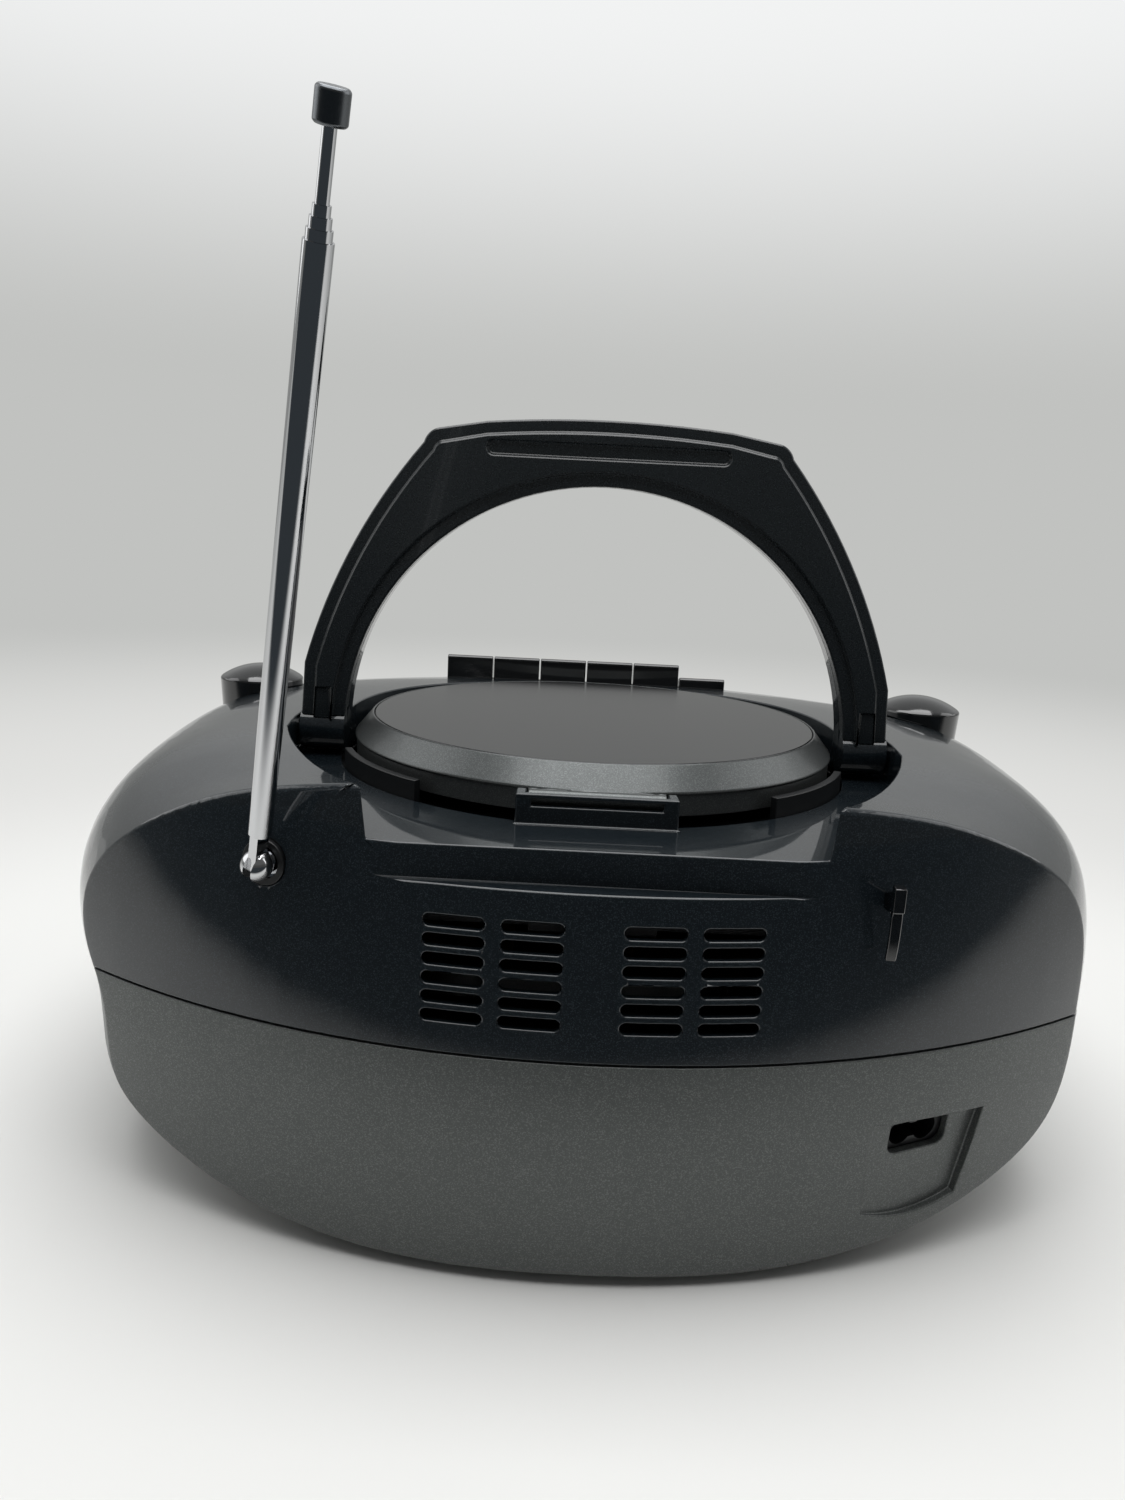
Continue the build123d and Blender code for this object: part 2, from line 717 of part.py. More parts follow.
# Lid
lid_plane = Plane(origin=(0, at(lid_d), 0), x_dir=(1, 0, 0), z_dir=(0, -1, 0))
lid_axis = Axis((0, at(lid_d), 0), (0, 0, 1))
disc_bottom = lid_top - 1.2
plate_bottom = disc_bottom - lid_plate
with BuildPart() as cd_lid:
    with BuildSketch(lid_plane):
        with BuildLine():
            Polyline(
                (0, plate_bottom),
                (lid_disc_r - 2.4, plate_bottom),
                (lid_skirt_r - lid_wall, lid_bevel_bottom - 1.2),
                (lid_skirt_r - lid_wall, lid_skirt_bottom),
                (lid_skirt_r, lid_skirt_bottom),
                (lid_skirt_r, lid_bevel_bottom - 0.7),
                (lid_r, lid_bevel_bottom - 0.7),
                (lid_r, lid_bevel_bottom),
                (lid_disc_r + 0.6, lid_top),
                (lid_disc_r + 0.2, lid_top),
                (lid_disc_r + 0.2, disc_bottom),
                (0, disc_bottom),
                close=True,
            )
        make_face()
    revolve(axis=lid_axis)
    barrel_place = Pos(0, at(hinge_d), hinge_height) * Rot(0, 90, 0)
    barrel_room = post(0, lid_d, lid_skirt_bottom - 1, lid_top, lid_skirt_r - lid_wall)
    arm_low = (-hinge_arm_half, hinge_d - 0.6, hinge_height - hinge_barrel_r)
    arm_high = (hinge_arm_half, hinge_d + 4.4, hinge_height + hinge_barrel_r - 0.4)
    add(block(arm_low, arm_high) - barrel_room)
    add(barrel_place * drum(hinge_barrel_r, 2 * hinge_arm_half))
    add(barrel_place * drum(hinge_pin_r + running_gap, 60), mode=Mode.SUBTRACT)
    # Finger lip at the front edge
    add(Pos(0, at(lid_d + lid_r), 128.4) * brick(lip_width, lip_depth, 3.6))
save(cd_lid, "cd_lid")

with BuildPart() as lid_disc:
    add(post(0, lid_d, disc_bottom, lid_top, lid_disc_r))
    chamfer(lid_disc.edges().group_by(Axis.Z)[-1], length=0.4)
save(lid_disc, "lid_disc")

with BuildPart() as hinge_pin:
    add(barrel_place * drum(hinge_pin_r, 2 * hinge_ear_half - 1.2))
save(hinge_pin, "hinge_pin")


# Deck under the lid
deck_top = floor_height - floor_wall
well_floor = deck_top - disc_well_depth
tray_bottom = well_floor - deck_plate
with BuildPart() as cd_deck:
    add(post(0, lid_d, deck_top - deck_plate, deck_top, collar_outer_r + 3))
    add(post(0, lid_d, tray_bottom, deck_top, disc_well_r + wall))
    add(post(0, lid_d, well_floor, deck_top + 1, disc_well_r), mode=Mode.SUBTRACT)
    for side in (-1, 1):
        start = radians(collar_start)
        end = radians(collar_end)
        middle = (start + end) / 2
        with BuildSketch(Plane.XY.offset(deck_top)) as collar:
            with BuildLine():
                rim = []
                for r, turn in (
                    (collar_inner_r, start),
                    (collar_inner_r, middle),
                    (collar_inner_r, end),
                    (collar_outer_r, start),
                    (collar_outer_r, middle),
                    (collar_outer_r, end),
                ):
                    rim.append((side * r * sin(turn), at(lid_d - r * cos(turn))))
                ThreePointArc(rim[0], rim[1], rim[2])
                Line(rim[2], rim[5])
                ThreePointArc(rim[5], rim[4], rim[3])
                Line(rim[3], rim[0])
            make_face()
        extrude(amount=collar_top - deck_top, dir=(0, 0, 1))
    hub_room = post(0, lid_d, 0, deck_top, turntable_r + 1)
    slot_low = (-9, lid_d + turntable_r, tray_bottom - 1)
    slot_high = (9, lid_d + disc_well_r - 4, deck_top)
    add([hub_room, block(slot_low, slot_high)], mode=Mode.SUBTRACT)
save(cd_deck, "cd_deck")

chassis_top = tray_bottom - 11
chassis_bottom = chassis_top - 2
guide_z = chassis_top + 4.5
sled_low_d = lid_d + turntable_r + 3
guide_end = sled_low_d + 12 + sled_travel + 8
with BuildPart() as cd_chassis:
    add(block((-42, lid_d - 34, chassis_bottom), (42, guide_end + 8, chassis_top)))
    for x in (-36, 36):
        for d in (lid_d - 28, guide_end + 2):
            add(post(x, d, chassis_top, tray_bottom, 3))
    wall_low = (-19, sled_low_d - 5, chassis_top)
    add(block(wall_low, (19, sled_low_d - 2.5, chassis_top + 8)))
    add(block((-19, guide_end - 3, chassis_top), (19, guide_end, chassis_top + 8)))
    for x in (-14, 14):
        add(rod_back(x, guide_z, sled_low_d - 4, guide_end - 1, guide_rod_r))
    add(post(0, lid_d, 0, deck_top, 4.2), mode=Mode.SUBTRACT)
save(cd_chassis, "cd_chassis")

with BuildPart() as cd_sled:
    add(block((-17.5, sled_low_d, chassis_top + 1.4), (17.5, sled_low_d + 12, chassis_top + 8)))
    add(block((-8, sled_low_d, chassis_top + 7), (8, sled_low_d + 14, well_floor + 0.6)))
    add(post(0, sled_low_d + 7, well_floor, well_floor + 1.8, 3.2))
    for x in (-14, 14):
        guide_bore = rod_back(x, guide_z, sled_low_d - 1, sled_low_d + 13, guide_rod_r + running_gap)
        add(guide_bore, mode=Mode.SUBTRACT)
save(cd_sled, "cd_sled")

shaft_low = chassis_bottom - 6
with BuildPart() as cd_motor:
    add(post(0, lid_d, chassis_bottom - 9.5, chassis_bottom, 12))
    add(post(0, lid_d, chassis_bottom - 1, chassis_top + 1.5, 3.6))
    add(post(0, lid_d, shaft_low - 0.3, chassis_top + 2, spindle_r + running_gap), mode=Mode.SUBTRACT)
save(cd_motor, "cd_motor")

with BuildPart() as turntable:
    add(post(0, lid_d, disc_height - 2.5, disc_height, turntable_r))
    add(post(0, lid_d, disc_height - 0.5, disc_height + 2.4, 7.4))
    hub_top = turntable.edges().group_by(Axis.Z)[-1]
    chamfer(hub_top, length=1.2)
    add(post(0, lid_d, shaft_low, disc_height - 2, spindle_r))
    add(post(0, lid_d, chassis_top + 3, disc_height - 2, 3.4))
save(turntable, "turntable")


# Knobs and what they turn
shaft_bottom = 106.0
pot_top = knob_floor - wall
control_names = {1: ("volume_knob", "volume_control"), -1: ("tuning_knob", "tuning_capacitor")}
for side, (knob_name, body_name) in control_names.items():
    knob_plane = Plane(origin=(side * knob_x, at(knob_d), 0), x_dir=(1, 0, 0), z_dir=(0, -1, 0))
    with BuildPart() as knob:
        with BuildSketch(knob_plane):
            with BuildLine():
                crown_start = (0, knob_crown)
                rim_edge = (knob_r - 0.8, knob_rim)
                crown_mid = ((knob_r - 0.8) * 0.55, knob_crown - (knob_crown - knob_rim) * 0.28)
                ThreePointArc(crown_start, crown_mid, rim_edge)
                Line(rim_edge, (knob_r, knob_rim - 0.8))
                Line((knob_r, knob_rim - 0.8), (knob_foot_r, knob_floor + 0.5))
                Line((knob_foot_r, knob_floor + 0.5), (knob_foot_r - 1.8, knob_floor + 0.5))
                Line((knob_foot_r - 1.8, knob_floor + 0.5), (knob_r - 2.6, knob_rim - 1.6))
                Line((knob_r - 2.6, knob_rim - 1.6), (shaft_r + 1.6, knob_rim - 0.6))
                Line((shaft_r + 1.6, knob_rim - 0.6), (shaft_r + 1.6, knob_floor + 0.5))
                Line((shaft_r + 1.6, knob_floor + 0.5), (shaft_r, knob_floor + 0.5))
                Line((shaft_r, knob_floor + 0.5), (shaft_r, shaft_bottom))
                Line((shaft_r, shaft_bottom), (0, shaft_bottom))
                Line((0, shaft_bottom), crown_start)
            make_face()
        revolve(axis=Axis((side * knob_x, at(knob_d), 0), (0, 0, 1)))
    save(knob, knob_name)
    wide = 12 if side > 0 else 13
    with BuildPart() as control:
        add(block((side * knob_x - wide, knob_d - 11, 100), (side * knob_x + wide, knob_d + 11, 114)))
        add(post(side * knob_x, knob_d, 113, pot_top, shaft_r + 1.8))
        shaft_bore = post(side * knob_x, knob_d, shaft_bottom - 1, pot_top + 1, shaft_r + running_gap)
        add(shaft_bore, mode=Mode.SUBTRACT)
        for pin in (-6, 0, 6):
            pin_x = side * knob_x + pin
            add(block((pin_x - 0.8, knob_d - 9, 95), (pin_x + 0.8, knob_d - 8.4, 101)))
    save(control, body_name)


# Cassette mechanism
with BuildPart() as tape_chassis:
    add(block((-chassis_half, chassis_back_d, chassis_low), (chassis_half, chassis_face_d, guide_top)))
    guide_low = (-chassis_half, key_rear_d, guide_bottom)
    guide_high = (chassis_half + 2 * key_shift, key_rear_d + 16, guide_top)
    add(block(guide_low, guide_high))
    for side in (-1, 1):
        # Side walls that stiffen the plate, and the guides of the head carrier
        side_low = (side * chassis_half, key_rear_d, chassis_low)
        add(block(side_low, (side * (chassis_half - 2), chassis_back_d, guide_top)))
        rail_x = head_carrier_half + 0.3
        add(block((side * rail_x, chassis_face_d, 82), (side * (rail_x + 2), chassis_face_d + 4.2, 104)))
    for i in range(len(key_names)):
        x = key_shift + (i - 2.5) * key_pitch
        stem_low = (x - stem_half - 0.3, stem_d - 2.3, guide_bottom - 1)
        add(block(stem_low, (x + stem_half + 0.3, stem_d + 2.3, guide_top + 1)), mode=Mode.SUBTRACT)
    bore_ends = (chassis_back_d - 1, chassis_face_d + 1)
    bores = [rod_back(capstan_x, capstan_height, *bore_ends, capstan_r + running_gap)]
    for side in (-1, 1):
        x = side * reel_spacing / 2
        bores.append(rod_back(x, reel_height, *bore_ends, reel_shaft_r + running_gap))
    add(bores, mode=Mode.SUBTRACT)
save(tape_chassis, "tape_chassis")

for side, name in ((-1, "supply_reel"), (1, "take_up_reel")):
    x = side * reel_spacing / 2
    with BuildPart() as reel:
        add(rod_back(x, reel_height, chassis_back_d - 2.4, chassis_face_d + 1, reel_shaft_r))
        add(rod_back(x, reel_height, chassis_face_d + 0.3, chassis_face_d + 2, 8))
        add(rod_back(x, reel_height, chassis_face_d + 2, chassis_face_d + 9.5, 3.1))
        for turn in (0, 60, 120):
            fin = Pos(x, at(chassis_face_d + 5.5), reel_height) * Rot(0, turn, 0) * brick(8.4, 7, 1.1)
            add(fin)
        add(rod_back(x, reel_height, chassis_back_d - 2.4, chassis_back_d - 0.5, 3.2))
    save(reel, name)

with BuildPart() as flywheel:
    add(rod_back(capstan_x, capstan_height, chassis_back_d - 9, chassis_back_d - 3, flywheel_r))
    add(rod_back(capstan_x, capstan_height, chassis_back_d - 9, chassis_face_d + 10, capstan_r))
    add(rod_back(capstan_x, capstan_height, chassis_back_d - 3.5, chassis_back_d - 0.3, 4))
save(flywheel, "flywheel")

with BuildPart() as tape_motor:
    add(rod_back(38, 40, chassis_back_d - 20, chassis_back_d, 15))
    chamfer(tape_motor.edges().group_by(Axis.Y)[-1], length=1.2)
    add(rod_back(38, 40, chassis_back_d - 22, chassis_back_d - 19, 5))
save(tape_motor, "tape_motor")

with BuildPart() as head_carrier:
    add(block((-head_carrier_half, chassis_face_d + 0.3, 88), (head_carrier_half, chassis_face_d + 2.1, 100)))
    add(block((-6.5, chassis_face_d + 2, 87), (6.5, chassis_face_d + 10, 96)))
    add(block((-2, chassis_face_d + 2, 95), (2, chassis_face_d + 4, 103)))
    add(rod_back(14, 92, chassis_face_d + 2, chassis_face_d + 9, 4.6))
save(head_carrier, "head_carrier")

# Keys
for i, name in enumerate(key_names):
    x = key_shift + (i - 2.5) * key_pitch
    drop = key_travel if i == 0 else 0
    half = (key_pitch - key_gap) / 2
    top = key_top - drop
    low = top - key_height
    front_d = key_rear_d + key_length
    side_plane = Plane(origin=(x - half, 0, 0), x_dir=(0, 1, 0), z_dir=(1, 0, 0))
    with BuildPart() as key:
        with BuildSketch(side_plane):
            Polygon(
                (at(key_rear_d), low),
                (at(key_rear_d), top - 1),
                (at(key_rear_d + 1), top),
                (at(front_d - 1.2), top - key_slope),
                (at(front_d), top - key_slope - 1.2),
                (at(front_d), low),
                align=None,
            )
        extrude(amount=2 * half)
        inner_low = (x - half + key_wall, key_rear_d + key_wall, low - 1)
        inner_high = (x + half - key_wall, front_d - key_wall, top - key_slope - key_wall)
        add(block(inner_low, inner_high), mode=Mode.SUBTRACT)
        stem_low = (x - stem_half, stem_d - 2, stem_bottom - drop)
        add(block(stem_low, (x + stem_half, stem_d + 2, top - key_slope - 1)))
    save(key, name)

# Cassette door and its window
with BuildPart() as cassette_door:
    room = block((-door_half, body_depth - 40, door_low), (door_half, body_depth + 5, door_high))
    add(room & front_barrel(0))
    add(front_barrel(door_thickness), mode=Mode.SUBTRACT)
    for side in (-1, 1):
        lug_low = (side * (door_half - 3), door_hinge_d - 3, door_low)
        lug = block(lug_low, (side * door_half, body_depth, door_hinge_height + 4.5))
        add(lug & front_barrel(door_thickness / 2))
        rail = block((side * 51.5, 224.5, 36), (side * 53.5, body_depth, 88))
        add(rail & front_barrel(door_thickness / 2))
        pin_x = side * (door_half + door_gap / 2)
        add(Pos(pin_x, at(door_hinge_d), door_hinge_height) * Rot(0, 90, 0) * drum(door_pin_r, 6.5))
    lens_low = (-30, body_depth - 20, 44)
    lens_high = (30, body_depth + 5, 82)
    add(block(lens_low, lens_high), mode=Mode.SUBTRACT)
save(cassette_door, "cassette_door")
with BuildPart() as door_window:
    lens_room = block((-29.9, body_depth - 20, 44.1), (29.9, body_depth + 5, 81.9))
    add((lens_room & front_barrel(0.4)) - front_barrel(2.2))
save(door_window, "door_window")
with BuildPart() as display_window:
    inset_low = (-window_half + 0.1, body_depth - 12, window_middle - window_half_height + 0.1)
    inset_high = (window_half - 0.1, body_depth + 5, window_middle + window_half_height - 0.1)
    add((block(inset_low, inset_high) & front_barrel(0.4)) - front_barrel(2.2))
save(display_window, "display_window")

# Buttons and switches on the front
for x, name in zip((-button_x[1], -button_x[0], button_x[0], button_x[1]), button_names):
    front_d = body_depth - x ** 2 / (2 * front_radius) - (button_height - seam_height) ** 2 / (2 * front_bow)
    with BuildPart() as button:
        add(rod_back(x, button_height, front_d - 5, front_d + button_stand, button_r))
        chamfer(button.edges().group_by(Axis.Y)[0], length=0.5)
        add(rod_back(x, button_height, front_d - 6.2, front_d - 4.6, button_r + 1.5))
    save(button, name)
for side, name in ((-1, "function_switch"), (1, "band_switch")):
    place = front_place(side * switch_x, switch_height)
    with BuildPart() as slider:
        add(place.location * Pos(0, 0, 1.6) * brick(6, 4, 2.4))
        add(place.location * Pos(0, 0, -1.6) * brick(3, 2, 5.2))
        add(place.location * Pos(0, 0, -4.0) * brick(2 * switch_half_travel + 10, 6, 1.6))
    save(slider, name)

# Speakers, board, transformer, inlet
for side, name in ((-1, "left_speaker"), (1, "right_speaker")):
    speaker_root = (side * speaker_x, at(speaker_face_d), speaker_height)
    plane = Plane(origin=speaker_root, x_dir=(1, 0, 0), z_dir=(0, 0, 1))
    with BuildPart() as speaker:
        with BuildSketch(plane):
            Polygon(
                (0, -6),
                (12, -6),
                (30, 0),
                (speaker_r + 1.4, 0),
                (speaker_r + 1.4, 2.4),
                (31.4, 2.4),
                (18, 14),
                (18, 30),
                (0, 30),
                align=None,
            )
        cone_axis = Axis(speaker_root, (0, 1, 0))
        revolve(axis=cone_axis)
        cone = Pos(side * speaker_x, at(speaker_face_d + 2), speaker_height) * Rot(90, 0, 0)
        add(cone * Cone(9, 33, 13, mode=Mode.PRIVATE), mode=Mode.SUBTRACT)
    save(speaker, name)

with BuildPart() as main_board:
    add(block((-75, 105, board_height), (75, 175, board_height + 1.6)))
    add(block((-20, 128, board_height + 1), (8, 146, board_height + 4.2)))
    add(block((24, 116, board_height + 1), (30, 160, board_height + 22)))
    for x in (42, 56):
        add(post(x, 128, board_height + 1, board_height + 22, 5))
        add(post(x, 150, board_height + 1, board_height + 15, 3.2))
save(main_board, "main_board")

with BuildPart() as transformer:
    core_low = (transformer_x - 13, 48, transformer_seat)
    add(block(core_low, (transformer_x + 13, 78, transformer_seat + 32)))
    coil_low = (transformer_x - 19, 53, transformer_seat + 7)
    add(block(coil_low, (transformer_x + 19, 73, transformer_seat + 25)))
save(transformer, "transformer")

with BuildPart() as ac_inlet:
    housing = pocket_place * Pos(0, 0, -wall - 8)
    add(housing * brick(2 * inlet_half + 5, 2 * inlet_half_height + 5, 16))
    for side in (-1, 1):
        room = pocket_place * Pos(side * inlet_pin_spacing / 2, 0, -wall - 6.9)
        add(room * drum(3.9, 14), mode=Mode.SUBTRACT)
    add(pocket_place * Pos(0, 0, -wall - 6.9) * brick(inlet_pin_spacing, 4.4, 14), mode=Mode.SUBTRACT)
    for side in (-1, 1):
        pin = pocket_place * Pos(side * inlet_pin_spacing / 2, 0, -inlet_mouth - 6)
        add(pin * drum(inlet_pin_r, 12))
save(ac_inlet, "ac_inlet")

# Antenna
socket = antenna_place.location
with BuildPart() as antenna_socket:
    add(socket * Pos(0, 0, -2.45) * drum(antenna_ring_r, 6.1))
    add(socket * Pos(0, 0, -4.7) * drum(antenna_ring_r + 1.8, 1.6))
    add(socket * Pos(0, 0, -1.8) * drum(swivel_r + running_gap, 3.6), mode=Mode.SUBTRACT)
    add(socket * Pos(0, 0, 0.6) * drum(antenna_ball_r + 0.2, 3), mode=Mode.SUBTRACT)
    add(socket * Pos(0, 0, -4.5) * drum(socket_screw_r, 4), mode=Mode.SUBTRACT)
save(antenna_socket, "antenna_socket")

ball_center = antenna_place.origin + face_normal * antenna_stand
tilt_axis = face_normal.cross(lean).normalized()
lean_place = Plane(origin=ball_center, x_dir=tilt_axis, z_dir=lean)
cheek_place = Plane(origin=ball_center, x_dir=tilt_axis, z_dir=face_normal)
with BuildPart() as antenna_swivel:
    add(cheek_place.location * Sphere(antenna_ball_r, mode=Mode.PRIVATE))
    add(socket * Pos(0, 0, -2.0) * drum(swivel_r, 3))
    slot_box = brick(tongue_thickness + 0.1, 30, 20)
    add(cheek_place.location * Pos(0, 0, 10 - tongue_r - 0.3) * slot_box, mode=Mode.SUBTRACT)
    add(cheek_place.location * Rot(0, 90, 0) * drum(tilt_pin_r, 2 * antenna_ball_r - 1))
save(antenna_swivel, "antenna_swivel")

diameters = antenna_diameters
stage_names = ("antenna_tube", "antenna_stage_2", "antenna_stage_3", "antenna_stage_4")
for i, name in enumerate(stage_names):
    outer_r = diameters[i] / 2
    bore_r = diameters[i + 1] / 2 + running_gap
    start = antenna_start + 3 * i
    end = antenna_tube_end + section_step * i
    with BuildPart() as stage:
        add(lean_place.location * Pos(0, 0, (start + end) / 2) * drum(outer_r, end - start))
        bore_start = start + 2.6
        bore_middle = (bore_start + end + 1) / 2
        bore = lean_place.location * Pos(0, 0, bore_middle) * drum(bore_r, end + 1 - bore_start)
        add(bore, mode=Mode.SUBTRACT)
        if i == 0:
            tongue = lean_place.location * Rot(0, 90, 0)
            add(tongue * drum(tongue_r, tongue_thickness))
            tongue_root = ball_center - tilt_axis * tongue_thickness / 2
            tongue_plane = Plane(origin=tongue_root, x_dir=lean, z_dir=tilt_axis)
            with BuildSketch(tongue_plane):
                Polygon(
                    (0, -tongue_r),
                    (0, tongue_r),
                    (antenna_start + 1.5, outer_r - 0.7),
                    (antenna_start + 1.5, -outer_r + 0.7),
                    align=None,
                )
            extrude(amount=tongue_thickness)
            add(lean_place.location * Rot(0, 90, 0) * drum(tilt_pin_r + running_gap, 10), mode=Mode.SUBTRACT)
    save(stage, name)

rod_start = antenna_start + 3 * len(stage_names)
rod_end = antenna_tube_end + section_step * (len(stage_names) - 1) + rod_shown
with BuildPart() as antenna_rod:
    rod_middle = (rod_start + rod_end + 2) / 2
    add(lean_place.location * Pos(0, 0, rod_middle) * drum(diameters[-1] / 2, rod_end + 2 - rod_start))
save(antenna_rod, "antenna_rod")
with BuildPart() as antenna_cap:
    add(lean_place.location * Pos(0, 0, rod_end + cap_length / 2) * drum(cap_r, cap_length))
    chamfer(antenna_cap.edges().filter_by(GeomType.CIRCLE), length=0.5)
    add(lean_place.location * Pos(0, 0, rod_end) * drum(diameters[-1] / 2, 4), mode=Mode.SUBTRACT)
save(antenna_cap, "antenna_cap")

# Clip that the folded antenna snaps into: an arm, a block and a springy blade below it
clip_block_back = clip_reach - clip_block_depth
clip_side = Plane(origin=(clip_x, clip_place.origin.Y, clip_height), x_dir=(0, 1, 0), z_dir=(1, 0, 0))
with BuildPart() as antenna_clip:
    with BuildSketch(clip_side):
        Polygon(
            (clip_block_back, 0),
            (clip_reach, 0),
            (clip_reach, clip_block_height),
            (clip_block_back, clip_block_height + 0.5),
            align=None,
        )
    extrude(amount=clip_width / 2, both=True)
    with BuildSketch(clip_side):
        with BuildLine():
            Line((clip_block_back + 0.4, 0.3), (clip_reach - 0.8, 0.3))
            ThreePointArc((clip_reach - 0.8, 0.3), (clip_reach - 0.95, -7), (clip_reach - 2.1, -clip_drop))
            Line((clip_reach - 2.1, -clip_drop), (clip_reach - 3.2, -clip_drop + 0.3))
            arc_end = (clip_block_back + 0.4, 0.3)
            ThreePointArc((clip_reach - 3.2, -clip_drop + 0.3), (clip_reach - 2.3, -7), arc_end)
        make_face()
    extrude(amount=clip_width / 2 - 0.1, both=True)
    with BuildSketch(clip_side.offset(clip_width / 2 - 0.9)):
        arm_end = clip_block_back + 0.3
        Polygon((-3, -1.8), (arm_end, -0.9), (arm_end, 5.2), (-3, 1.6), align=None)
    extrude(amount=0.9, both=True)
    add(rear_barrel(-0.02), mode=Mode.SUBTRACT)
save(antenna_clip, "antenna_clip")

with BuildPart() as ferrite_rod:
    add(Pos(0, at(21), 103) * Rot(0, 90, 0) * drum(ferrite_r, 106))
    add(Pos(0, at(21), 103) * Rot(0, 90, 0) * drum(ferrite_r + 1.6, 34))
save(ferrite_rod, "ferrite_rod")

for i, (x, d) in enumerate(foot_places):
    with BuildPart() as foot:
        add(post(x, d, 0, foot_height + foot_sink, foot_r))
        chamfer(foot.edges().group_by(Axis.Z)[0], length=0.6)
    save(foot, "foot_" + str(i + 1))
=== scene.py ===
import json
import math

import bmesh
import bpy
from mathutils import Matrix, Vector

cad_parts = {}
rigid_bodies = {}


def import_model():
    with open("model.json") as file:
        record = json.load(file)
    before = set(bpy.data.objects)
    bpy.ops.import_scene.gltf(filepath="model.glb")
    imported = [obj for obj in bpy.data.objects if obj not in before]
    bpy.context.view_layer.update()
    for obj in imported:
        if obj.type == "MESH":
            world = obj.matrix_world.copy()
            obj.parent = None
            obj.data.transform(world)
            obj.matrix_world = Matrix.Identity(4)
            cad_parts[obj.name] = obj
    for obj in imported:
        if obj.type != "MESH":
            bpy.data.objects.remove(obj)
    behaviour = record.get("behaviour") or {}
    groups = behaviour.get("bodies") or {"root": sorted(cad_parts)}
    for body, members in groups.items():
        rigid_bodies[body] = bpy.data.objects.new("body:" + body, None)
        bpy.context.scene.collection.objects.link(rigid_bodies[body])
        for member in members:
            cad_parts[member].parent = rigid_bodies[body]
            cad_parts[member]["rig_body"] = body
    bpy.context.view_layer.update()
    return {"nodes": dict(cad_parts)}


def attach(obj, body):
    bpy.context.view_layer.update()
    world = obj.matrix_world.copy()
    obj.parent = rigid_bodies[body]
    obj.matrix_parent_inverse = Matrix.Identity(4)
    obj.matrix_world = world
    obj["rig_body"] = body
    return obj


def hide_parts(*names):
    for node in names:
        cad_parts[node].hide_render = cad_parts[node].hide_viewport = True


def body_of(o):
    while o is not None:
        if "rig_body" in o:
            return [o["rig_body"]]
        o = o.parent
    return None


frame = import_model()
nodes = frame["nodes"]
print("frame loaded:", len(nodes), "nodes")


def linear(hexText):  # sRGB hex to linear RGBA
    parts = [int(hexText[i:i + 2], 16) / 255 for i in (1, 3, 5)]
    return tuple(c / 12.92 if c <= 0.04045 else ((c + 0.055) / 1.055) ** 2.4 for c in parts) + (1.0,)


def addNode(tree, kind, settings=None, inputs=None, links=None):
    node = tree.nodes.new(kind)
    for key, value in (settings or {}).items():
        setattr(node, key, value)
    for key, value in (inputs or {}).items():
        node.inputs[key].default_value = value
    for key, source in (links or {}).items():
        tree.links.new(source, node.inputs[key])
    return node


def startMaterial(name, shaderInputs):
    material = bpy.data.materials.new(name)
    material.use_nodes = True
    tree = material.node_tree
    tree.nodes.clear()
    shader = addNode(tree, "ShaderNodeBsdfPrincipled", inputs=shaderInputs)
    out = addNode(tree, "ShaderNodeOutputMaterial")
    tree.links.new(shader.outputs["BSDF"], out.inputs["Surface"])
    coords = addNode(tree, "ShaderNodeTexCoord")
    return material, tree, shader, coords.outputs["Object"]


def flakePaint(name, base, flake, rough, flakeSize, flakeShare, metallic, coat, coatRough, shine=0.5):
    # Metallic flakes lie a little tilted in the skin, so single points catch the light
    material, tree, shader, place = startMaterial(name, {
        "Metallic": metallic, "Coat Weight": coat, "Coat Roughness": coatRough, "Coat IOR": 1.5,
        "Specular IOR Level": shine})
    cells = addNode(tree, "ShaderNodeTexVoronoi", {"feature": "F1"}, {"Scale": 1 / flakeSize}, {"Vector": place})
    tone = addNode(tree, "ShaderNodeSeparateColor", links={"Color": cells.outputs["Color"]})
    spark = addNode(tree, "ShaderNodeMapRange", {"interpolation_type": "SMOOTHSTEP"},
                    {"From Min": 1 - flakeShare, "From Max": 1.0}, {"Value": tone.outputs["Red"]})
    mix = addNode(tree, "ShaderNodeMix", {"data_type": "RGBA"}, {"A": linear(base), "B": linear(flake)},
                  {"Factor": spark.outputs["Result"]})
    tree.links.new(mix.outputs["Result"], shader.inputs["Base Color"])
    # Clouds of about 17 mm, the uneven flow of the melt
    cloud = addNode(tree, "ShaderNodeTexNoise", inputs={"Scale": 60.0, "Detail": 3.0}, links={"Vector": place})
    roughness = addNode(tree, "ShaderNodeMapRange", inputs={"To Min": rough * 0.88, "To Max": rough * 1.14},
                        links={"Value": cloud.outputs["Fac"]})
    tree.links.new(roughness.outputs["Result"], shader.inputs["Roughness"])
    bump = addNode(tree, "ShaderNodeBump", inputs={"Strength": 0.02, "Distance": 0.0002},
                   links={"Height": tone.outputs["Green"]})
    tree.links.new(bump.outputs["Normal"], shader.inputs["Normal"])
    return material


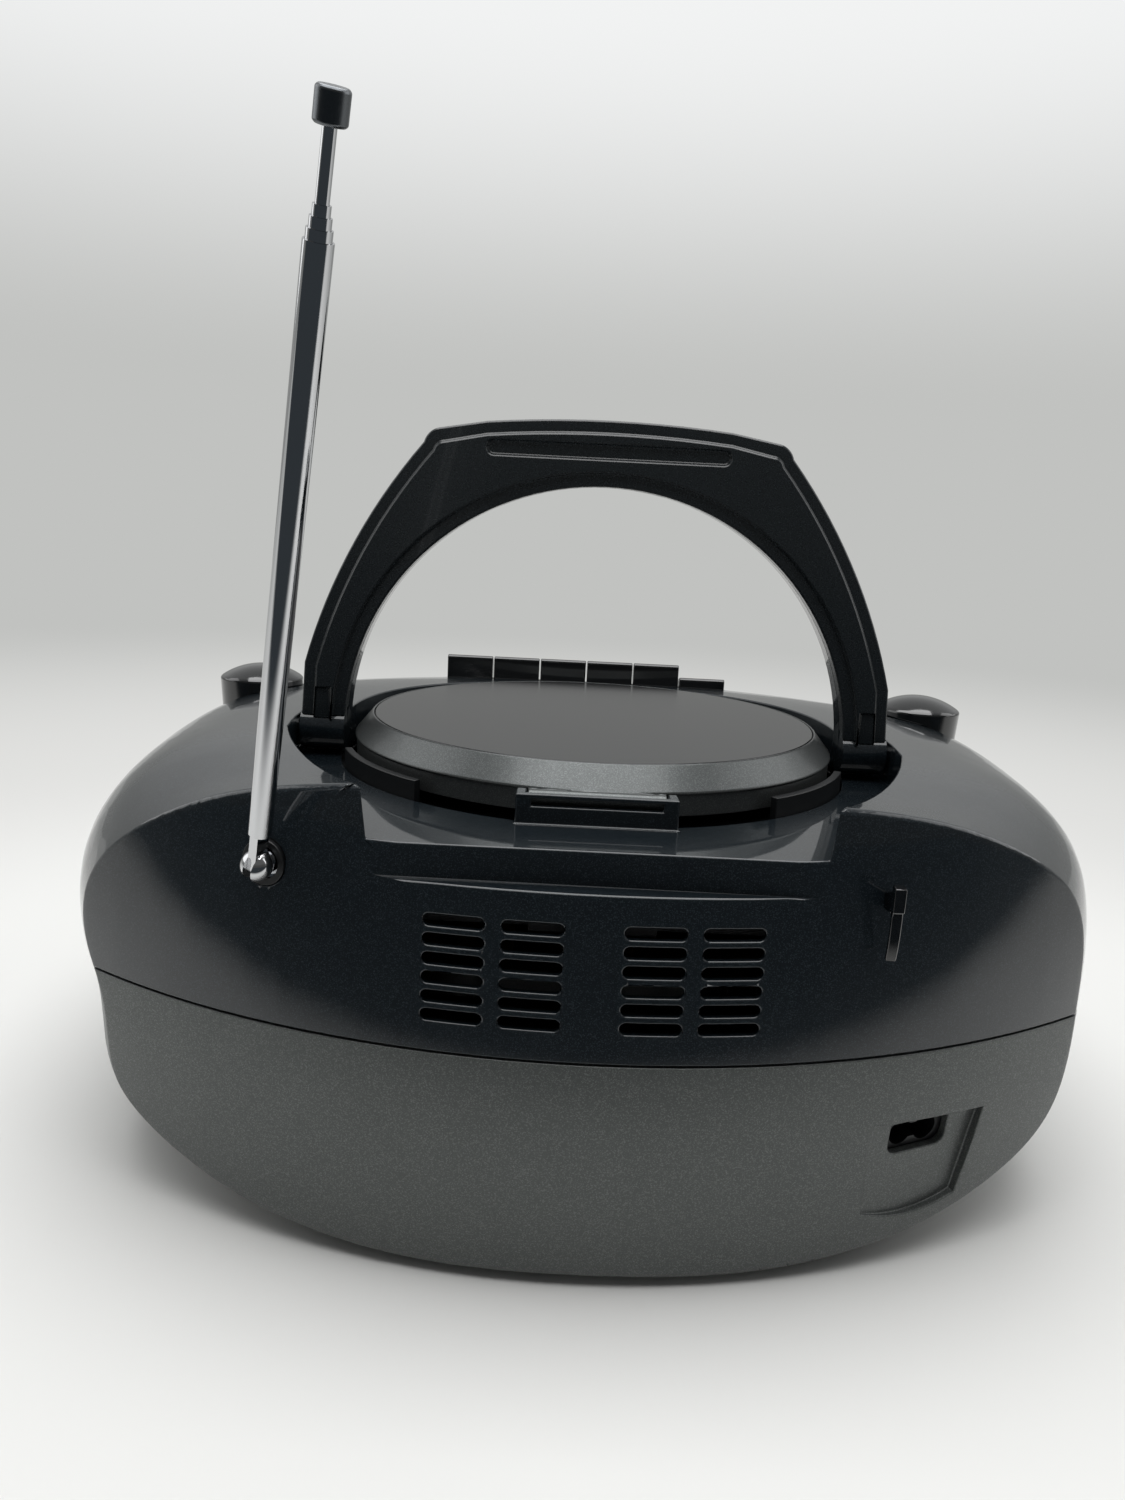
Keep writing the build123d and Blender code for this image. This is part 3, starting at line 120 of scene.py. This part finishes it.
def plainPlastic(name, color, rough, grainSize, grain, coat=0.0):
    # The mould's own grain, and with it a faint change of gloss
    material, tree, shader, place = startMaterial(name, {
        "Base Color": linear(color), "IOR": 1.53, "Coat Weight": coat, "Coat Roughness": 0.05})
    skin = addNode(tree, "ShaderNodeTexNoise", inputs={"Scale": 1 / grainSize, "Detail": 2.0},
                   links={"Vector": place})
    roughness = addNode(tree, "ShaderNodeMapRange", inputs={"To Min": rough * 0.85, "To Max": rough * 1.15},
                        links={"Value": skin.outputs["Fac"]})
    tree.links.new(roughness.outputs["Result"], shader.inputs["Roughness"])
    bump = addNode(tree, "ShaderNodeBump", inputs={"Strength": grain, "Distance": 0.0001},
                   links={"Height": skin.outputs["Fac"]})
    tree.links.new(bump.outputs["Normal"], shader.inputs["Normal"])
    return material


def metal(name, color, rough, streak, stretch=(1, 1, 40)):
    # Polishing or rolling lines, longest along the axis with the smallest stretch
    material, tree, shader, place = startMaterial(name, {"Base Color": linear(color), "Metallic": 1.0})
    turned = addNode(tree, "ShaderNodeMapping", inputs={"Scale": stretch}, links={"Vector": place})
    lines = addNode(tree, "ShaderNodeTexNoise", inputs={"Scale": 300.0, "Detail": 2.0},
                    links={"Vector": turned.outputs["Vector"]})
    roughness = addNode(tree, "ShaderNodeMapRange",
                        inputs={"To Min": rough * (1 - streak), "To Max": rough * (1 + streak)},
                        links={"Value": lines.outputs["Fac"]})
    tree.links.new(roughness.outputs["Result"], shader.inputs["Roughness"])
    return material


# Real flakes are about 0.03 mm; all are drawn near 0.2 mm, the finest that shows in the render
finishes = {
    # ABS moulded with flakes under a polished clearcoat: nearly black, with sharp reflections at its turns
    "glossShell": flakePaint("metallic_abs_clearcoated", base="#12191e", flake="#2b3338", rough=0.38,
                             flakeSize=0.00022, flakeShare=0.30, metallic=0.20, coat=1.0, coatRough=0.04,
                             shine=0.12),
    # The same flakes in satin moulded ABS: a mid grey with a soft glow and no reflections
    "satinShell": flakePaint("metallic_abs_satin", base="#4d504f", flake="#686b6a", rough=0.40,
                             flakeSize=0.00025, flakeShare=0.40, metallic=0.50, coat=0.12, coatRough=0.25),
    # Silver lacquer sprayed on ABS: a broad bright band where the bevel turns to the light
    "ringPaint": flakePaint("silver_flake_lacquer", base="#505353", flake="#686b6b", rough=0.36,
                            flakeSize=0.00018, flakeShare=0.45, metallic=0.70, coat=0.2, coatRough=0.12),
    # ABS from a spark-eroded mould, 0.4 mm grain: an even dull black
    "blackAbs": plainPlastic("moulded_black_abs", "#0c0e10", rough=0.42, grainSize=0.0004, grain=0.05),
    # ABS with a hard clear layer: a dark mirror that turns pale at a low angle
    "discAbs": plainPlastic("hard_coated_black_abs", "#0a0c0e", rough=0.16, grainSize=0.0012, grain=0.004),
    # ABS from a polished mould: crisp small reflections on the keys and knobs
    "pianoAbs": plainPlastic("polished_black_abs", "#07090b", rough=0.12, grainSize=0.0012, grain=0.004,
                             coat=0.6),
    # ABS from a vapour-honed mould, 0.6 mm grain: black with a soft sheen at the steps
    "handleAbs": plainPlastic("satin_black_abs", "#1a1f22", rough=0.28, grainSize=0.0006, grain=0.02, coat=0.2),
    # Drawn brass tube with polished chrome: dark and bright stripes along the tube
    "chromePlate": metal("chrome_plated_brass", "#c9cacc", rough=0.07, streak=0.3, stretch=(40, 40, 1)),
    # Turned brass with black nickel: a dark cap with a blurred highlight
    "darkChrome": metal("black_nickel_plated_brass", "#66696c", rough=0.30, streak=0.2),
    # Pressed sheet with bright zinc: a soft grey with rolling lines
    "zincSteel": metal("zinc_plated_steel", "#8d9092", rough=0.34, streak=0.25),
    # Compression-moulded rubber, 0.5 mm grain: black without a highlight
    "rubberFoot": plainPlastic("moulded_rubber", "#141414", rough=0.75, grainSize=0.0005, grain=0.15),
    # Pressed paper and phenolic resin: a flat brown board
    "boardResin": plainPlastic("phenolic_board", "#6d5232", rough=0.6, grainSize=0.0008, grain=0.05),
    # Pressed and fired ferrite: a dry dark grey
    "ferriteGrey": plainPlastic("sintered_ferrite", "#2d2e30", rough=0.7, grainSize=0.0006, grain=0.1),
    # Pulp dried on a former, 0.5 mm fibres: a soft black felt-like skin
    "conePaper": plainPlastic("pressed_cone_paper", "#1b1b1c", rough=0.85, grainSize=0.0005, grain=0.2),
    # Acrylic dyed in the mass and polished: nearly opaque, with a clean sheen
    "smokedWindow": startMaterial("smoked_acrylic", {
        "Base Color": linear("#17191b"), "Roughness": 0.05, "Transmission Weight": 0.1, "IOR": 1.49})[0],
}

# The finish of each node; keys, buttons and feet go by their names and the rest is zinc-plated steel
groups = {
    "glossShell": ("upper_cabinet", "handle_front"),
    "satinShell": ("lower_cabinet", "front_panel", "battery_door", "cassette_door"),
    "ringPaint": ("cd_lid",),
    "discAbs": ("lid_disc",),
    "handleAbs": ("handle_rear",),
    "blackAbs": ("cd_deck", "cd_sled", "turntable", "supply_reel", "take_up_reel", "tuning_capacitor", "ac_inlet",
                 "antenna_socket", "function_switch", "band_switch"),
    "pianoAbs": ("volume_knob", "tuning_knob", "antenna_clip"),
    "chromePlate": ("antenna_swivel", "antenna_tube", "antenna_stage_2", "antenna_stage_3", "antenna_stage_4",
                    "antenna_rod"),
    "darkChrome": ("antenna_cap",),
    "boardResin": ("main_board",),
    "ferriteGrey": ("ferrite_rod",),
    "conePaper": ("left_speaker", "right_speaker"),
    "smokedWindow": ("display_window", "door_window"),
}
wears = {name: finish for finish, names in groups.items() for name in names}


def isButton(name):
    return name.endswith("_key") or name.endswith("_button")


def finishOf(name):
    if isButton(name):
        return finishes["pianoAbs"]
    if name.startswith("foot_"):
        return finishes["rubberFoot"]
    return finishes[wears.get(name, "zincSteel")]


for name, node in nodes.items():
    for slot in node.material_slots:
        slot.material = finishOf(name)


# Lengths in metres, angles in degrees
skin = {"mergeWithin": 0.000002, "flatAngle": 0.05, "degenerate": 0.00001, "sharpAngle": 28.0,
        "sliverHeight": 0.00003, "segments": 2}


def faceHeight(face):
    return face.calc_area() / max(e.calc_length() for e in face.edges)


def smoothSkin(name, edge, clamped):
    # The node's own shape with its doubles merged, its curves shaded smooth and its edges softened
    bm = bmesh.new()
    bm.from_mesh(nodes[name].data)
    bmesh.ops.remove_doubles(bm, verts=bm.verts, dist=skin["mergeWithin"])
    bmesh.ops.dissolve_limit(bm, angle_limit=math.radians(skin["flatAngle"]), verts=bm.verts, edges=bm.edges,
                             delimit={"SHARP"})
    bmesh.ops.dissolve_degenerate(bm, dist=skin["degenerate"], edges=bm.edges)
    weight = bm.edges.layers.float.new("bevel_weight_edge")
    for face in bm.faces:
        face.smooth = True
    for e in bm.edges:
        if len(e.link_faces) == 2 and e.calc_face_angle(0) > math.radians(skin["sharpAngle"]):
            e.smooth = False
            # A sliver's own tilt isn't an edge of the part
            if min(faceHeight(f) for f in e.link_faces) > skin["sliverHeight"]:
                e[weight] = 1.0
    mesh = bpy.data.meshes.new(name + "_skin")
    bm.to_mesh(mesh)
    bm.free()
    piece = bpy.data.objects.new(name + "_skin", mesh)
    bpy.context.scene.collection.objects.link(piece)
    mesh.materials.append(finishOf(name))
    if edge > 0:
        bevel = piece.modifiers.new("edges", "BEVEL")
        bevel.limit_method = "WEIGHT"
        bevel.width = edge
        bevel.segments = skin["segments"]
        bevel.use_clamp_overlap = clamped
        bevel.loop_slide = False
        shade = piece.modifiers.new("shade", "WEIGHTED_NORMAL")
        shade.keep_sharp = True
    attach(piece, body_of(nodes[name])[0])
    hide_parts(name)


print("finishes set")

# Edge radius in metres, and whether it may shrink where the mesh is fine
edges = {
    "upper_cabinet": (0.00045, False), "lower_cabinet": (0.0003, False), "front_panel": (0.0003, False),
    "battery_door": (0.0003, False), "cassette_door": (0.0003, False), "handle_front": (0.0005, True),
    "handle_rear": (0.0006, False), "cd_lid": (0.0003, False), "lid_disc": (0.0001, True),
    "cd_deck": (0.0002, False), "volume_knob": (0.0004, False), "tuning_knob": (0.0004, False),
    "antenna_clip": (0.0003, False), "antenna_socket": (0.0002, False), "antenna_swivel": (0, True),
    "antenna_tube": (0, True), "antenna_rod": (0, True), "antenna_cap": (0.0002, False),
    "antenna_stage_2": (0, True), "antenna_stage_3": (0, True), "antenna_stage_4": (0, True),
}
edges.update({name: (0.0004, False) for name in nodes if isButton(name)})
for name, (edge, clamped) in edges.items():
    smoothSkin(name, edge, clamped)
print("skins made")

# Floor and sky: a flat pale paper floor whose far part runs into the sky without an edge
# The far grey of the floor here is painted shade
stage = {"floorSize": 8.0, "floorHex": "#e6e6e4", "farShadeHex": "#c1c2c0", "nearRadius": 0.30, "farRadius": 0.62,
         "farShadeRadius": 1.6, "horizonHex": "#c1c2c0", "topHex": "#f2f3f3", "climbFrom": 0.1, "climbTo": 0.40,
         # Painted shade: the dark colour that the floor on the camera's side shows in reflections
         "reflectedShadeHex": "#3a3f43", "reflectedShadeFrom": 0.13, "reflectedShadeTo": 0.24}
bm = bmesh.new()
bmesh.ops.create_grid(bm, x_segments=1, y_segments=1, size=stage["floorSize"] / 2)
mesh = bpy.data.meshes.new("floor")
bm.to_mesh(mesh)
bm.free()
floor = bpy.data.objects.new("floor", mesh)
bpy.context.scene.collection.objects.link(floor)
paper, paperTree, paperShader, paperPlace = startMaterial("matt_paper", {
    "Base Color": linear(stage["floorHex"]), "Roughness": 0.9, "Specular IOR Level": 0.2})
away = addNode(paperTree, "ShaderNodeVectorMath", {"operation": "LENGTH"}, links={0: paperPlace})
fade = addNode(paperTree, "ShaderNodeMapRange", {"interpolation_type": "SMOOTHSTEP"},
               {"From Min": stage["nearRadius"], "From Max": stage["farRadius"]}, {"Value": away.outputs["Value"]})
# Painted shade: the floor's glow darkens with distance from the paper's colour to the sky's horizon grey, standing
# in for the shade on the far paper
farShade = addNode(paperTree, "ShaderNodeMapRange", {"interpolation_type": "SMOOTHSTEP"},
               {"From Min": stage["nearRadius"], "From Max": stage["farShadeRadius"]}, {"Value": away.outputs["Value"]})
tint = addNode(paperTree, "ShaderNodeMix", {"data_type": "RGBA"}, {
    "A": linear(stage["floorHex"]), "B": linear(stage["farShadeHex"])}, {"Factor": farShade.outputs["Result"]})
# Painted shade: for glossy rays the floor on the camera's side shows a flat dark glow in place of its lit paper,
# standing in for the dim room behind a camera, so its reflections come out dark
seenBy = addNode(paperTree, "ShaderNodeLightPath")
split = addNode(paperTree, "ShaderNodeSeparateXYZ", links={"Vector": paperPlace})
behind = addNode(paperTree, "ShaderNodeMapRange", {"interpolation_type": "SMOOTHSTEP"},
                 {"From Min": stage["reflectedShadeFrom"], "From Max": stage["reflectedShadeTo"]}, {"Value": split.outputs["Y"]})
reflectedShadeMask = addNode(paperTree, "ShaderNodeMath", {"operation": "MULTIPLY"}, links={
    0: behind.outputs["Result"], 1: seenBy.outputs["Is Glossy Ray"]})
glowWithPaintedShade = addNode(paperTree, "ShaderNodeMix", {"data_type": "RGBA"}, {"B": linear(stage["reflectedShadeHex"])},
                 {"Factor": reflectedShadeMask.outputs["Value"], "A": tint.outputs["Result"]})
glow = addNode(paperTree, "ShaderNodeEmission", links={"Color": glowWithPaintedShade.outputs["Result"]})
direct = addNode(paperTree, "ShaderNodeMath", {"operation": "MAXIMUM"}, links={
    0: seenBy.outputs["Is Camera Ray"], 1: seenBy.outputs["Is Glossy Ray"]})
shown = addNode(paperTree, "ShaderNodeMath", {"operation": "MULTIPLY"}, links={
    0: fade.outputs["Result"], 1: direct.outputs["Value"]})
covered = addNode(paperTree, "ShaderNodeMath", {"operation": "MAXIMUM"}, links={
    0: shown.outputs["Value"], 1: reflectedShadeMask.outputs["Value"]})
paperBlend = addNode(paperTree, "ShaderNodeMixShader", links={
    0: covered.outputs["Value"], 1: paperShader.outputs["BSDF"], 2: glow.outputs["Emission"]})
paperTree.links.new(paperBlend.outputs["Shader"], paperTree.nodes["Material Output"].inputs["Surface"])
mesh.materials.append(paper)

world = bpy.data.worlds.new("studio")
bpy.context.scene.world = world
world.use_nodes = True
tree = world.node_tree
tree.nodes.clear()
toward = addNode(tree, "ShaderNodeTexCoord")
parts = addNode(tree, "ShaderNodeSeparateXYZ", links={"Vector": toward.outputs["Generated"]})
climb = addNode(tree, "ShaderNodeMapRange", {"interpolation_type": "SMOOTHSTEP"},
                {"From Min": stage["climbFrom"], "From Max": stage["climbTo"]}, {"Value": parts.outputs["Z"]})
sky = addNode(tree, "ShaderNodeMix", {"data_type": "RGBA"}, {
    "A": linear(stage["horizonHex"]), "B": linear(stage["topHex"])}, {"Factor": climb.outputs["Result"]})
# The room is lit on its paper side and dim on its open side
lit = {"closedFrom": -0.3, "openFrom": 0.4, "closedSide": 0.65, "openSide": 0.15}
openness = addNode(tree, "ShaderNodeMapRange", {"interpolation_type": "SMOOTHSTEP"}, {
    "From Min": lit["closedFrom"], "From Max": lit["openFrom"], "To Min": lit["closedSide"],
    "To Max": lit["openSide"]}, {"Value": parts.outputs["Y"]})
soft = addNode(tree, "ShaderNodeBackground", links={
    "Color": sky.outputs["Result"], "Strength": openness.outputs["Result"]})
seen = addNode(tree, "ShaderNodeBackground", inputs={"Strength": 1.0}, links={"Color": sky.outputs["Result"]})
path = addNode(tree, "ShaderNodeLightPath")
blend = addNode(tree, "ShaderNodeMixShader", links={
    0: path.outputs["Is Camera Ray"], 1: soft.outputs[0], 2: seen.outputs[0]})
addNode(tree, "ShaderNodeOutputWorld", links={"Surface": blend.outputs[0]})
print("stage set")

lamps = {
    "topLamp": {"place": (0.0, 0.1, 1.1), "target": (0, 0.05, 0.1), "size": 1.0, "watts": 11.5},
    "leftLamp": {"place": (1.0, -0.1, 0.7), "target": (0, 0, 0.1), "size": 0.8, "watts": 2.2},
    "rightLamp": {"place": (-1.0, -0.1, 0.7), "target": (0, 0, 0.1), "size": 0.8, "watts": 2.2},
}
for name, lamp in lamps.items():
    data = bpy.data.lights.new(name, "AREA")
    data.shape = "SQUARE"
    data.size = lamp["size"]
    data.energy = lamp["watts"]
    light = bpy.data.objects.new(name, data)
    light.location = lamp["place"]
    light.rotation_euler = (Vector(lamp["target"]) - Vector(lamp["place"])).to_track_quat("-Z", "Y").to_euler()
    bpy.context.scene.collection.objects.link(light)

# The camera stands where the photograph was taken from
view = {"x": 0.01096, "depth": -0.2525, "height": 0.13605, "pixels": 1083.0, "yaw": 0.0026, "pitch": 0.2128,
        "roll": 0.0496, "backY": 0.0954539, "seamZ": 0.070}
picture = {"width": 1125, "sensor": 36}
baseRows = Matrix(((1, 0, 0), (0, 0, -1), (0, 1, 0)))
c, s = math.cos(view["roll"]), math.sin(view["roll"])
rollRows = Matrix(((c, -s, 0), (s, c, 0), (0, 0, 1)))
c, s = math.cos(view["pitch"]), math.sin(view["pitch"])
pitchRows = Matrix(((1, 0, 0), (0, c, -s), (0, s, c)))
c, s = math.cos(view["yaw"]), math.sin(view["yaw"])
yawRows = Matrix(((c, -s, 0), (s, c, 0), (0, 0, 1)))
rows = rollRows @ pitchRows @ baseRows @ yawRows
right, down, ahead = [Vector((-row[0], -row[1], row[2])) for row in rows]
camera = bpy.data.objects.new("camera", bpy.data.cameras.new("camera"))
camera.data.lens = view["pixels"] / picture["width"] * picture["sensor"]
camera.data.sensor_width = picture["sensor"]
camera.data.sensor_fit = "HORIZONTAL"
camera.data.clip_start = 0.01
placed = Matrix((right, -down, -ahead)).transposed().to_4x4()
placed.translation = Vector((view["x"], view["backY"] - view["depth"], view["seamZ"] + view["height"]))
camera.matrix_world = placed
bpy.context.scene.collection.objects.link(camera)
bpy.context.scene.camera = camera
bpy.context.scene.view_settings.view_transform = "Standard"

print("scene ready")
